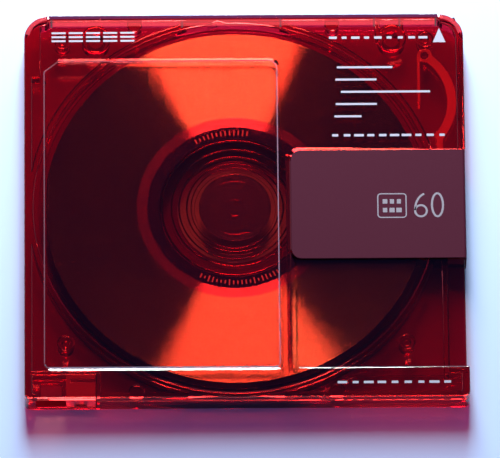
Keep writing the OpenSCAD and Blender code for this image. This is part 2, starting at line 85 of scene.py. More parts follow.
class Graph:
    """A thin wrapper that adds nodes to a tree and links them by socket name."""

    def __init__(self, tree: NodeTree) -> None:
        """Starts from an empty tree.

        Args:
            tree: The node tree to fill.
        """
        self.tree = tree
        self.tree.nodes.clear()

    def link(self, value: object, target: NodeSocket) -> None:
        """Gives an input socket its value.

        Args:
            value: A constant, or the output socket to link.
            target: The input socket.
        """
        if isinstance(value, NodeSocket):
            self.tree.links.new(value, target)
        else:
            target.default_value = value

    def add(self, kind: str, values: Optional[dict] = None, **props: object) -> Node:
        """Adds one node.

        Args:
            kind: The node's type name.
            values: Constants or output sockets for its inputs, by their name or index.
            props: Properties of the node itself.

        Returns:
            The new node.
        """
        node = self.tree.nodes.new(kind)
        for key, value in props.items():
            setattr(node, key, value)
        for key, value in (values or {}).items():
            self.link(value, node.inputs[key])
        return node

    def maths(self, operation: str, a: object, b: object = 0.0, clamp: bool = False) -> NodeSocket:
        """Adds a Math node.

        Args:
            operation: The operation's name.
            a: The first input, a socket or a number.
            b: The second input, a socket or a number.
            clamp: Whether the result stays between 0 and 1.

        Returns:
            The result socket.
        """
        return self.add("ShaderNodeMath", {0: a, 1: b}, operation=operation, use_clamp=clamp).outputs[0]

    def mix(self, factor: NodeSocket, a: object, b: object) -> NodeSocket:
        """Mixes two colours by a factor socket.

        Args:
            factor: The mask that chooses the second colour.
            a: The first colour, a socket or a tuple.
            b: The second colour, a socket or a tuple.

        Returns:
            The colour socket.
        """
        first, second = (c if isinstance(c, NodeSocket) else (*c, 1.0) for c in (a, b))
        return self.add("ShaderNodeMix", {"Factor": factor, 6: first, 7: second}, data_type="RGBA").outputs[2]


def new_group(name: str, kind: str, inputs: dict, outputs: Iterable[str]) -> Graph:
    """Makes an empty node group with its interface.

    Args:
        name: The group's name.
        kind: ShaderNodeTree or GeometryNodeTree.
        inputs: Each input's default value by its name, or its socket type where it has none.
        outputs: Names of the outputs, which are geometries in a geometry tree and else numbers.

    Returns:
        The graph of the group, with its input and output nodes.
    """
    tree = bpy.data.node_groups.new(name, kind)
    for label, default in inputs.items():
        typed = isinstance(default, str)
        socket = default if typed else SOCKET_TYPES[type(default)]
        item = tree.interface.new_socket(name=label, in_out="INPUT", socket_type=socket)
        if not typed:
            item.default_value = default
    result = "NodeSocketGeometry" if kind == "GeometryNodeTree" else "NodeSocketFloat"
    for label in outputs:
        tree.interface.new_socket(name=label, in_out="OUTPUT", socket_type=result)
    graph = Graph(tree)
    graph.source = graph.add("NodeGroupInput").outputs
    graph.target = graph.add("NodeGroupOutput").inputs
    return graph


# Shader effects that several finishes share


class Effects:
    """Shader node groups, each built once."""

    def __init__(self) -> None:
        """Builds the groups."""
        self.handling = self._handling()
        self.grain = self._grain()
        self.rings = self._rings()

    @staticmethod
    def _handling() -> NodeTree:
        """Faint hairline scratches and smudges from handling.

        Returns:
            A group that puts out a roughness and a height.
        """
        g = new_group(
            "HandlingMarks", "ShaderNodeTree", {"Base Roughness": 0.05, "Amount": 0.1}, ("Roughness", "Height"))
        coords = g.add("ShaderNodeTexCoord").outputs["Object"]
        lines = []
        for turn, stretch in ((0.4, 9.0), (2.1, 13.0)):
            place = g.add("ShaderNodeMapping", {
                "Vector": coords, "Rotation": (0, 0, turn), "Scale": (60.0, 60.0 * stretch, 60.0)})
            noise = g.add("ShaderNodeTexNoise", {
                "Vector": place.outputs[0], "Scale": 4.0, "Detail": 3.0, "Roughness": 0.6})
            lines.append(g.maths("GREATER_THAN", noise.outputs["Fac"], 0.685))
        scratch = g.maths("MAXIMUM", *lines)
        smudge = g.add("ShaderNodeTexNoise", {
            "Vector": coords, "Scale": 90.0, "Detail": 4.0, "Roughness": 0.55, "Distortion": 0.8})
        soft = g.maths("MULTIPLY", g.maths("SUBTRACT", smudge.outputs["Fac"], 0.45, clamp=True), 1.6)
        total = g.maths("MULTIPLY", g.maths("ADD", scratch, soft), g.source["Amount"])
        g.link(g.maths("ADD", g.source["Base Roughness"], total, clamp=True), g.target["Roughness"])
        g.link(g.maths("MULTIPLY", scratch, -1.0), g.target["Height"])
        return g.tree

    @staticmethod
    def _grain() -> NodeTree:
        """Fine grain of a moulded or sprayed surface.

        Returns:
            A group that puts out a height and a mask of speckles.
        """
        g = new_group("SurfaceGrain", "ShaderNodeTree", {"Scale": 4000.0}, ("Height", "Speckle"))
        coords = g.add("ShaderNodeTexCoord").outputs["Object"]
        scale = g.source["Scale"]
        fine = g.add("ShaderNodeTexNoise", {"Vector": coords, "Scale": scale, "Detail": 2.0, "Roughness": 0.5})
        coarse = g.add("ShaderNodeTexVoronoi", {"Vector": coords, "Scale": g.maths("MULTIPLY", scale, 0.6)})
        g.link(g.maths("MULTIPLY", fine.outputs["Fac"], coarse.outputs["Distance"]), g.target["Height"])
        g.link(g.maths("GREATER_THAN", fine.outputs["Fac"], 0.6), g.target["Speckle"])
        return g.tree

    @staticmethod
    def _rings() -> NodeTree:
        """Rings round the disc's axis.

        Returns:
            A group that puts out the radius in millimetres, a fine groove height and a slow radial variation.
        """
        g = new_group("DiscRings", "ShaderNodeTree", {"Centre X": 0.0, "Pitch": 0.2}, ("Radius", "Groove", "Drift"))
        coords = g.add("ShaderNodeTexCoord").outputs["Object"]
        split = g.add("ShaderNodeSeparateXYZ", {0: coords}).outputs
        x, y = g.maths("SUBTRACT", split["X"], g.source["Centre X"]), split["Y"]
        square = g.maths("ADD", g.maths("MULTIPLY", x, x), g.maths("MULTIPLY", y, y))
        radius = g.maths("MULTIPLY", g.maths("SQRT", square), 1.0 / MM)
        turns = g.maths("DIVIDE", radius, g.source["Pitch"])
        drift = g.add("ShaderNodeTexNoise", {"W": radius, "Scale": 1.3, "Detail": 3.0}, noise_dimensions="1D")
        g.link(radius, g.target["Radius"])
        g.link(g.maths("SINE", g.maths("MULTIPLY", turns, 2 * math.pi)), g.target["Groove"])
        g.link(drift.outputs["Fac"], g.target["Drift"])
        return g.tree


# Finishes


class Look(Graph):
    """A material's graph, with its Principled shader and the shared effects."""

    def __init__(self, name: str, effects: Effects) -> None:
        """Starts a material from one Principled shader.

        Args:
            name: The material's name.
            effects: The shared shader groups.
        """
        self.material = bpy.data.materials.new(name)
        self.material.use_nodes = True
        super().__init__(self.material.node_tree)
        self.effects = effects
        self.shader = self.add("ShaderNodeBsdfPrincipled")
        self.output = self.add("ShaderNodeOutputMaterial", {"Surface": self.shader.outputs[0]})

    def set(self, values: dict) -> None:
        """Gives the Principled shader its values, by input name."""
        for key, value in values.items():
            self.link(value, self.shader.inputs[key])

    def effect(self, tree: NodeTree, values: dict) -> NodeOutputs:
        """Places a shared group with its own values and returns its outputs."""
        return self.add("ShaderNodeGroup", values, node_tree=tree).outputs

    def bump(self, height: NodeSocket, strength: float, depth: float) -> None:
        """Feeds a height through a Bump node into the shader's normal.

        Args:
            height: The height socket.
            strength: The bump's strength.
            depth: The bump's depth in metres.
        """
        self.set({"Normal": self.add("ShaderNodeBump", {
            "Strength": strength, "Distance": depth, "Height": height}).outputs[0]})

    def speckle(self, scale: float, colour: Colour, other: Colour, share: float = 1.0) -> NodeOutputs:
        """Colours the shader with the speckles of a fine grain.

        Args:
            scale: The grain's scale.
            colour: The colour between the speckles.
            other: The speckles' colour.
            share: How strongly they show.

        Returns:
            The grain's outputs.
        """
        grain = self.effect(self.effects.grain, {"Scale": scale})
        self.set({"Base Color": self.mix(self.maths("MULTIPLY", grain["Speckle"], share), colour, other)})
        return grain

    def wear(self, roughness: float, amount: float) -> NodeSocket:
        """Roughens the shader with handling marks.

        Args:
            roughness: The clean surface's roughness.
            amount: How strongly the marks show.

        Returns:
            The marks' height.
        """
        marks = self.effect(self.effects.handling, {"Base Roughness": roughness, "Amount": amount})
        self.set({"Roughness": marks["Roughness"]})
        return marks["Height"]

    def overlay(self, factor: NodeSocket, other: Node) -> None:
        """Lays another shader over the Principled one.

        Args:
            factor: Where and how much of the other shader shows.
            other: The other shader's node.
        """
        mix = self.add("ShaderNodeMixShader", {0: factor, 1: self.shader.outputs[0], 2: other.outputs[0]})
        self.link(mix.outputs[0], self.output.inputs["Surface"])


def darker(colour: Colour, share: float) -> Colour:
    """A share of a colour."""
    return tuple(c * share for c in colour)


@dataclass(frozen=True)
class Finish:
    """A named look."""

    name: str

    def material(self, effects: Effects) -> Material:
        """Builds the material.

        Args:
            effects: The shared shader groups.

        Returns:
            The material.
        """
        look = Look(self.name, effects)
        self.dress(look)
        return look.material

    def dress(self, g: Look) -> None:
        """Wires the nodes that make this look its own.

        Args:
            g: The material's graph.
        """
        raise NotImplementedError


@dataclass(frozen=True)
class ClearPlastic(Finish):
    """Polished translucent plastic that takes its colour from its own thickness."""

    passes: Colour = (0.985, 0.62, 0.62)
    per: float = 1.1 * MM
    ior: float = 1.58
    roughness: float = 0.03
    marks: float = 0.04
    surface: Colour = (1.0, 1.0, 1.0)  # what crossing a plate's two faces lets through
    shadow: Colour = (0.86, 0.93, 0.70)  # what a shadow ray keeps at each face, besides the tint
    haze: float = 0.0  # how much of the light is scattered instead

    def dress(self, g: Look) -> None:
        """Wires clear plastic with scratches, a tinted shadow and absorption inside."""
        g.set({"Base Color": (*self.surface, 1.0), "Transmission Weight": 1.0 - self.haze, "IOR": self.ior})
        g.bump(g.wear(self.roughness, self.marks), 0.25, 0.002 * MM)
        rays = g.add("ShaderNodeLightPath").outputs
        half = (loss * math.sqrt(c) for loss, c in zip(self.shadow, self.surface))
        clear = g.add("ShaderNodeBsdfTransparent", {"Color": (*half, 1.0)})
        g.overlay(g.maths("MAXIMUM", rays["Is Shadow Ray"], rays["Is Diffuse Ray"]), clear)
        rates = [-math.log(p) / self.per for p in self.passes]
        density = max(rates)
        tint = (1.0 - rate / density for rate in rates)
        body = g.add("ShaderNodeVolumeAbsorption", {"Color": (*tint, 1.0), "Density": density})
        g.link(body.outputs[0], g.output.inputs["Volume"])


@dataclass(frozen=True)
class GroovedMirror(Finish):
    """The disc's coated layer: a dark mirror whose fine grooves fan light out along the radius."""

    centre_x: float
    mirror: Colour = (0.20, 0.28, 0.40)
    lead_in: Colour = (0.60, 0.265, 0.50)
    ring: Colour = (0.55, 0.33, 0.50)
    fan: Colour = (0.45, 0.78, 0.33)
    lead_in_fan: Colour = (0.50, 0.28, 0.29)
    fan_roughness: float = 0.16
    fan_narrowness: float = 0.85
    fan_share: float = 0.85
    lead_in_share: float = 0.15  # how much of the fan the lead-in loses

    def dress(self, g: Look) -> None:
        """Wires the mirror, its inner rings and the fan of the grooves."""
        rings = g.effect(g.effects.rings, {"Centre X": self.centre_x, "Pitch": 0.35})
        mirror = g.maths("LESS_THAN", rings["Radius"], Zone.MIRROR.value)
        lead_in = g.maths("LESS_THAN", rings["Radius"], Zone.LEAD_IN.value)
        rough = g.maths("ADD", g.maths("MULTIPLY", lead_in, 0.12), 0.08)
        g.set({
            "Metallic": 1.0,
            "Coat Weight": 1.0,
            "Coat Roughness": 0.04,
            "Coat IOR": 1.6,
            "Base Color": g.mix(mirror, g.mix(lead_in, self.mirror, self.lead_in), self.ring),
            "Roughness": g.maths("SUBTRACT", rough, g.maths("MULTIPLY", mirror, 0.15)),
        })
        grooves = g.add("ShaderNodeBsdfAnisotropic", {
            "Color": g.mix(lead_in, self.fan, self.lead_in_fan),
            "Roughness": self.fan_roughness,
            "Anisotropy": self.fan_narrowness,
            "Tangent": g.add("ShaderNodeTangent", direction_type="RADIAL", axis="Z").outputs[0],
        })
        lost = g.maths("MAXIMUM", mirror, g.maths("MULTIPLY", lead_in, self.lead_in_share))
        drift = g.maths("ADD", g.maths("MULTIPLY", rings["Drift"], 0.10), self.fan_share)
        g.overlay(g.maths("MULTIPLY", g.maths("SUBTRACT", 1.0, lost), drift), grooves)


@dataclass(frozen=True)
class SatinPaint(Finish):
    """Thin satin paint on sheet metal."""

    colour: Colour
    worn: Colour
    roughness: float = 0.5

    def dress(self, g: Look) -> None:
        """Wires the paint with worn speckles and handling marks."""
        grain = g.speckle(7000.0, self.colour, self.worn, 0.35)
        g.wear(self.roughness, 0.06)
        g.set({"Specular IOR Level": 0.04})
        g.bump(grain["Height"], 0.3, 0.01 * MM)


@dataclass(frozen=True)
class StampedSteel(Finish):
    """Stamped steel with the fine circular lay of its finish."""

    centre_x: float
    colour: Colour = (0.58, 0.50, 0.52)

    def dress(self, g: Look) -> None:
        """Wires the steel with its rings."""
        rings = g.effect(g.effects.rings, {"Centre X": self.centre_x, "Pitch": 0.09})
        g.set({
            "Metallic": 1.0,
            "Base Color": g.mix(rings["Drift"], self.colour, darker(self.colour, 0.7)),
            "Roughness": g.maths("ADD", g.maths("MULTIPLY", rings["Drift"], 0.06), 0.08),
        })
        g.bump(rings["Groove"], 0.1, 0.003 * MM)


@dataclass(frozen=True)
class MouldedPlastic(Finish):
    """Opaque moulded plastic with a fine grain."""

    colour: Colour
    roughness: float = 0.45

    def dress(self, g: Look) -> None:
        """Wires the plastic with its grain and handling marks."""
        grain = g.speckle(5000.0, self.colour, darker(self.colour, 0.8))
        g.wear(self.roughness, 0.08)
        g.bump(grain["Height"], 0.25, 0.008 * MM)


@dataclass(frozen=True)
class PaintedLightStrip(Finish):
    """A thin line or band that paints a highlight, a glow or a shade, and lets the colours under it show."""

    colour: Colour
    cover: float = 0.5
    gloss: float = 0.2

    def dress(self, g: Look) -> None:
        """Wires the speckled colour with its cover."""
        g.speckle(6000.0, self.colour, darker(self.colour, 0.8))
        g.set({"Roughness": 0.5, "Specular IOR Level": self.gloss, "Alpha": self.cover})


@dataclass(frozen=True)
class PrintInk(Finish):
    """Screen-printed ink with slightly uneven cover."""

    colour: Colour
    thin: Colour

    def dress(self, g: Look) -> None:
        """Wires the ink with its thin specks."""
        grain = g.speckle(9000.0, self.colour, self.thin)
        g.set({"Roughness": 0.5})
        g.bump(grain["Height"], 0.3, 0.004 * MM)


@dataclass(frozen=True)
class StudioFloor(Finish):
    """Pale, slightly glossy table top."""

    colour: Colour = (0.56, 0.70, 0.97)

    def dress(self, g: Look) -> None:
        """Wires the table's colour and its faintly uneven gloss."""
        grain = g.effect(g.effects.grain, {"Scale": 900.0})
        rough = g.maths("ADD", g.maths("MULTIPLY", grain["Height"], 0.05), 0.2)
        g.set({"Base Color": (*self.colour, 1.0), "Roughness": rough})


# Meshes

CAD_MERGE = 0.002 * MM
PART_MERGE = 1e-8
FLAT = math.radians(0.4)
SHARP = math.radians(18)
CRISP = math.radians(22)
STRAIGHT = math.radians(35)
ROOM_PER_WIDTH = 2.4


def link_object(name: str, data: ID) -> Object:
    """Makes an object at the origin and links it to the scene."""
    obj = bpy.data.objects.new(name, data)
    bpy.context.scene.collection.objects.link(obj)
    return obj


def object_from(bm: BMesh, name: str) -> Object:
    """Turns a working mesh into an object of the scene, and frees it."""
    mesh = bpy.data.meshes.new(name)
    bm.to_mesh(mesh)
    bm.free()
    return link_object(name, mesh)


def plain_mesh(obj: Object) -> Object:
    """Turns an object's evaluated result into a plain mesh object of the same name.

    Args:
        obj: The object with its modifiers, which is removed.

    Returns:
        The plain mesh object.
    """
    depsgraph = bpy.context.evaluated_depsgraph_get()
    depsgraph.update()
    mesh = bpy.data.meshes.new_from_object(obj.evaluated_get(depsgraph), depsgraph=depsgraph)
    name = obj.name
    bpy.data.objects.remove(obj)
    mesh.name = name
    return link_object(name, mesh)


def settle(
    obj: Object, material: Material, body: Body, stands_for: Sequence[str] = ()
) -> Object:
    """Gives a finished piece its material, its body and its place in the record.

    Args:
        obj: The piece.
        material: Its material.
        body: The body that it rides on.
        stands_for: The CAD nodes that it replaces.

    Returns:
        The piece.
    """
    obj.data.materials.clear()
    obj.data.materials.append(material)
    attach(obj, body.value)
    if stands_for:
        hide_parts(*stands_for)
    log.info("piece %s: %d faces, rides on %s", obj.name, len(obj.data.polygons), body.value)
    return obj


def mark_roomy_edges(bm: BMesh, width: float, spared: Callable[[Vector], bool]) -> None:
    """Marks the crisp edges that have room for a broken edge, with a bevel weight of one.

    Args:
        bm: The mesh, with its flat areas already dissolved.
        width: The width of the broken edges, in metres.
        spared: Whether the edges at a point stay crisp.
    """
    straight = math.cos(STRAIGHT)
    room = ROOM_PER_WIDTH * width

    def is_crisp(edge: BMEdge) -> bool:
        """Whether an edge is a fold between two faces."""
        return len(edge.link_faces) == 2 and edge.calc_face_angle(0.0) > CRISP

    def has_room(edge: BMEdge, vert: BMVert) -> bool:
        """Whether nothing short leaves this end of an edge, but for the next step of its own curve."""
        along = (edge.other_vert(vert).co - vert.co).normalized()
        for other in vert.link_edges:
            if other is edge or other.calc_length() >= room:
                continue
            away = (other.other_vert(vert).co - vert.co).normalized()
            if not (is_crisp(other) and away.dot(along) < -straight):
                return False
        return True

    def is_wide(edge: BMEdge, face: BMFace) -> bool:
        """Whether a face reaches far enough from an edge."""
        start = edge.verts[0].co
        along = (edge.verts[1].co - start).normalized()
        reach = max(((v.co - start) - along * (v.co - start).dot(along)).length for v in face.verts)
        return reach >= room

    weight = bm.edges.layers.float.new("bevel_weight_edge")
    for edge in bm.edges:
        if is_crisp(edge) and all(has_room(edge, v) and not spared(v.co) for v in edge.verts):
            if all(is_wide(edge, f) for f in edge.link_faces):
                edge[weight] = 1.0


def stand_in(
    node: str,
    name: str,
    bevel: float,
    material: Material,
    body: Body,
    shift: Callable[[Vector], Vector] = Vector.copy,
    spared: Callable[[Vector], bool] = lambda p: False,
) -> Object:
    """Replaces a CAD node by a dressed copy with merged triangles and broken edges.

    Args:
        node: The CAD node's name.
        name: The new piece's name.
        bevel: The width of the broken edges, in metres.
        material: The new piece's material.
        body: The body that it rides on.
        shift: A small move of each point, where faces would touch otherwise.
        spared: Whether the edges at a point stay crisp.

    Returns:
        The new piece.
    """
    bm = bmesh.new()
    bm.from_mesh(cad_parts[node].data)
    bmesh.ops.remove_doubles(bm, verts=bm.verts, dist=CAD_MERGE)
    for vert in bm.verts:
        vert.co = shift(vert.co)
    bmesh.ops.dissolve_limit(bm, angle_limit=FLAT, verts=bm.verts, edges=bm.edges, use_dissolve_boundaries=False)
    mark_roomy_edges(bm, bevel, spared)
    obj = object_from(bm, name)
    obj.data.shade_smooth()
    obj.data.set_sharp_from_angle(angle=SHARP)
    cut = obj.modifiers.new("edges", "BEVEL")
    cut.width = bevel
    cut.segments = 2
    cut.limit_method = "WEIGHT"
    cut.use_clamp_overlap = False
    cut.miter_outer = "MITER_ARC"
    even = obj.modifiers.new("normals", "WEIGHTED_NORMAL")
    even.keep_sharp = True
    even.weight = 100
    triangles = obj.modifiers.new("triangles", "TRIANGULATE")
    triangles.keep_custom_normals = True
    piece = plain_mesh(obj)
    low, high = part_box(node)
    for vert in piece.data.vertices:
        vert.co = Vector(min(max(c, a), b) for c, a, b in zip(vert.co, low, high))
    return settle(piece, material, body, [node])


# Geometry Nodes trees


@dataclass(frozen=True)
class DashRow:
    """One row of printed dashes, in millimetres."""

    left: float
    right: float
    y: float
    height: float
    count: int
    shortest: float  # the shortest dash, as a share of the longest
    seed: int
    fill: float = 0.82  # the longest dash, as a share of the pitch


class Patterns:
    """Geometry Nodes trees for what repeats or follows a path."""

    def __init__(self) -> None:
        """Builds the trees."""
        self.dashes = self._dashes()
        self.ticks = self._ticks()
        self.stroke = self._stroke()
        self.ring = self._ring()
        self.bead = self._bead()

    @staticmethod
    def _start(name: str, inputs: dict) -> Graph:
        """Starts a tree that also takes a geometry and a material.

        Args:
            name: The tree's name.
            inputs: The defaults of its own inputs, by name.

        Returns:
            The tree's graph.
        """
        sockets = {"Geometry": "NodeSocketGeometry", **inputs, "Material": "NodeSocketMaterial"}
        return new_group(name, "GeometryNodeTree", sockets, ("Geometry",))

    @staticmethod
    def _close(g: Graph, geometry: NodeSocket) -> NodeTree:
        """Ends a tree in a move to its centre, Realize Instances and Set Material.

        Args:
            g: The tree's graph.
            geometry: The geometry so far.

        Returns:
            The tree.
        """
        if "Centre" in g.source:
            move = g.add("GeometryNodeTransform", {"Geometry": geometry, "Translation": g.source["Centre"]})
            geometry = move.outputs["Geometry"]
        real = g.add("GeometryNodeRealizeInstances", {"Geometry": geometry})
        dress = g.add("GeometryNodeSetMaterial", {
            "Geometry": real.outputs["Geometry"], "Material": g.source["Material"]})
        g.link(dress.outputs["Geometry"], g.target["Geometry"])
        return g.tree

    @staticmethod
    def _blocks(g: Graph, block: str, shortest: object, places: dict) -> NodeSocket:
        """Stands blocks of uneven length on points.

        Args:
            g: The tree's graph.
            block: The name of the input that gives the longest block.
            shortest: The shortest block, as a share of the longest.
            places: The points, and a rotation where there is one, by input name.

        Returns:
            The instances.
        """
        cube = g.add("GeometryNodeMeshCube", {"Size": g.source[block]})
        chance = g.add("FunctionNodeRandomValue", {2: shortest, 3: 1.0, "Seed": g.source["Seed"]}, data_type="FLOAT")
        size = g.add("ShaderNodeCombineXYZ", {"X": chance.outputs[1], "Y": 1.0, "Z": 1.0})
        return g.add("GeometryNodeInstanceOnPoints", {
            "Instance": cube.outputs["Mesh"], "Scale": size.outputs[0], **places}).outputs["Instances"]

    @staticmethod
    def _sweep(g: Graph, path: object, profile: Node, upright: bool, caps: bool) -> NodeSocket:
        """Sweeps a profile along a path.

        Args:
            g: The tree's graph.
            path: The path's socket.
            profile: The profile's node.
            upright: Whether the profile keeps its height upright.
            caps: Whether the ends are closed.

        Returns:
            The swept mesh.
        """
        if upright:
            path = g.add("GeometryNodeSetCurveNormal", {"Curve": path}, mode="Z_UP").outputs["Curve"]
        return g.add("GeometryNodeCurveToMesh", {
            "Curve": path, "Profile Curve": profile.outputs["Curve"], "Fill Caps": caps}).outputs["Mesh"]

    def _dashes(self) -> NodeTree:
        """A row of printed dashes of uneven length."""
        g = self._start("DashRow", {
            "Count": 8, "Start": (0, 0, 0), "Pitch": (0.002, 0, 0), "Dash": (0.002, 0.001, 0.00001),
            "Shortest": 0.5, "Seed": 3})
        line = g.add("GeometryNodeMeshLine", {
            "Count": g.source["Count"], "Start Location": g.source["Start"], "Offset": g.source["Pitch"]})
        return self._close(g, self._blocks(g, "Dash", g.source["Shortest"], {"Points": line.outputs["Mesh"]}))

    def _ticks(self) -> NodeTree:
        """Radial ticks of uneven length along an arc."""
        g = self._start("RadialTicks", {
            "Count": 12, "Radius": 0.013, "From": 0.0, "Sweep": 1.0, "Tick": (0.001, 0.0003, 0.00001),
            "Centre": (0, 0, 0), "Seed": 5})
        arc = g.add("GeometryNodeCurveArc", {
            "Resolution": 64, "Radius": g.source["Radius"], "Start Angle": g.source["From"],
            "Sweep Angle": g.source["Sweep"]}, mode="RADIUS")
        points = g.add("GeometryNodeCurveToPoints", {
            "Curve": arc.outputs["Curve"], "Count": g.source["Count"]}, mode="COUNT")
        outward = g.add("FunctionNodeAlignRotationToVector", {
            "Vector": g.add("GeometryNodeInputPosition").outputs[0]}, axis="X", pivot_axis="Z")
        return self._close(g, self._blocks(g, "Tick", 0.4, {
            "Points": points.outputs["Points"], "Rotation": outward.outputs[0]}))

    def _stroke(self) -> NodeTree:
        """A flat stroke of even width along a curve."""
        g = self._start("FlatStroke", {"Width": 0.0004, "Thickness": 0.00001})
        profile = g.add("GeometryNodeCurvePrimitiveQuadrilateral", {
            "Width": g.source["Width"], "Height": g.source["Thickness"]})
        return self._close(g, self._sweep(g, g.source["Geometry"], profile, True, True))

    def _bead(self) -> NodeTree:
        """A ring of round section."""
        g = self._start("RoundBead", {"Radius": 0.01, "Bead": 0.0001, "Centre": (0, 0, 0)})
        path, profile = (g.add("GeometryNodeCurvePrimitiveCircle", {
            "Resolution": steps, "Radius": g.source[label]}) for label, steps in (("Radius", 144), ("Bead", 12)))
        return self._close(g, self._sweep(g, path.outputs["Curve"], profile, False, False))

    def _ring(self) -> NodeTree:
        """A flat ring of rectangular section."""
        g = self._start("FlatRing", {
            "Inner Radius": 0.01, "Outer Radius": 0.03, "Thickness": 0.00005, "Centre": (0, 0, 0), "Steps": 360})
        inner, outer = g.source["Inner Radius"], g.source["Outer Radius"]
        path = g.add("GeometryNodeCurvePrimitiveCircle", {
            "Radius": g.maths("MULTIPLY", g.maths("ADD", inner, outer), 0.5), "Resolution": g.source["Steps"]})
        profile = g.add("GeometryNodeCurvePrimitiveQuadrilateral", {
            "Width": g.maths("SUBTRACT", outer, inner), "Height": g.source["Thickness"]})
        return self._close(g, self._sweep(g, path.outputs["Curve"], profile, True, False))

    def run(self, tree: NodeTree, name: str, values: dict, data: Optional[ID] = None) -> Object:
        """Runs a tree and returns its result as a plain mesh.

        Args:
            tree: The Geometry Nodes tree.
            name: The piece's name.
            values: The tree's inputs by name.
            data: A curve that the tree works on, or nothing.

        Returns:
            The plain mesh object.
        """
        obj = link_object(name, data or bpy.data.meshes.new(name))
        modifier = obj.modifiers.new("pattern", "NODES")
        modifier.node_group = tree
        for item in tree.interface.items_tree:
            if item.item_type == "SOCKET" and item.in_out == "INPUT" and item.name in values:
                modifier[item.identifier] = values[item.name]
        return plain_mesh(obj)

    def line(
        self, name: str, paths: Paths, z: float, width: float, thickness: float, material: Material
    ) -> Object:
        """Draws flat strokes along paths.

        Args:
            name: The piece's name.
            paths: The paths in millimetres, each with whether it is closed.
            z: The height in metres, where the points give none.
            width: The strokes' width, in millimetres.
            thickness: Their thickness, in metres.
            material: Their material.

        Returns:
            The strokes.
        """
        values = {"Width": width * MM, "Thickness": thickness, "Material": material}
        return self.run(self.stroke, name, values, outline_curve(name, paths, z))

    def row(self, row: DashRow, z: float, depth: float, ink: Material) -> Object:
        """Lays out one row of dashes.

        Args:
            row: The row's measures.
            z: The height of the dashes' middle, in metres.
            depth: The dashes' thickness, in metres.
            ink: Their material.

        Returns:
            The row.
        """
        pitch = (row.right - row.left) / row.count
        return self.run(self.dashes, "row", {
            "Count": row.count,
            "Start": ((row.left + pitch / 2) * MM, row.y * MM, z),
            "Pitch": (pitch * MM, 0.0, 0.0),
            "Dash": (pitch * row.fill * MM, row.height * MM, depth),
            "Shortest": row.shortest,
            "Seed": row.seed,
            "Material": ink,
        })


def joined(name: str, parts: Sequence[Object]) -> Object:
    """Joins plain meshes into one piece with outward faces.

    Args:
        name: The new piece's name.
        parts: The objects, which are removed.

    Returns:
        The joined piece.
    """
    bm = bmesh.new()
    for part in parts:
        bm.from_mesh(part.data)
        bpy.data.objects.remove(part)
    bmesh.ops.remove_doubles(bm, verts=bm.verts, dist=PART_MERGE)
    bmesh.ops.recalc_face_normals(bm, faces=bm.faces)
    for face in bm.faces:
        face.smooth = False
    return object_from(bm, name)


def outline_curve(name: str, paths: Paths, z: float) -> Curve:
    """Makes a curve from paths in millimetres.

    Args:
        name: The curve's name.
        paths: Each path's points and whether it is closed.
        z: The height in metres, for points that give none.

    Returns:
        The curve.
    """
    curve = bpy.data.curves.new(name, "CURVE")
    curve.dimensions = "3D"
    for points, closed in paths:
        spline = curve.splines.new("POLY")
        spline.points.add(len(points) - 1)
        for point, (x, y, *height) in zip(spline.points, points):
            point.co = (x * MM, y * MM, height[0] * MM if height else z, 1.0)
        spline.use_cyclic_u = closed
    return curve


def arc_points(cx: float, cy: float, rx: float, ry: float, a0: float, a1: float, steps: int) -> list[Point]:
    """Points along an elliptic arc, with its angles in degrees."""
    angles = [math.radians(a0 + (a1 - a0) * i / steps) for i in range(steps + 1)]
    return [(cx + rx * math.cos(a), cy + ry * math.sin(a)) for a in angles]


def rounded_frame(x0: float, y0: float, x1: float, y1: float, r: float) -> list[Point]:
    """Points round a rectangle with rounded corners."""
    points: list[Point] = []
    for cx, cy, start in ((x1 - r, y1 - r, 0), (x0 + r, y1 - r, 90), (x0 + r, y0 + r, 180), (x1 - r, y0 + r, 270)):
        points += arc_points(cx, cy, r, r, start, start + 90, 6)
    return points


def flat_prism(name: str, points: Sequence[tuple[float, float, float]], depth: float) -> Object:
    """Makes a thin solid from a flat outline.

    Args:
        name: The object's name.
        points: The outline of its lower face, in millimetres.
        depth: The thickness in metres.

    Returns:
        The solid.
    """
    bm = bmesh.new()
    face = bm.faces.new([bm.verts.new(Vector(p) * MM) for p in points])
    raised = bmesh.ops.extrude_face_region(bm, geom=[face])["geom"]
    for vert in (item for item in raised if isinstance(item, BMVert)):
        vert.co.z += depth
    return object_from(bm, name)


# The cartridge


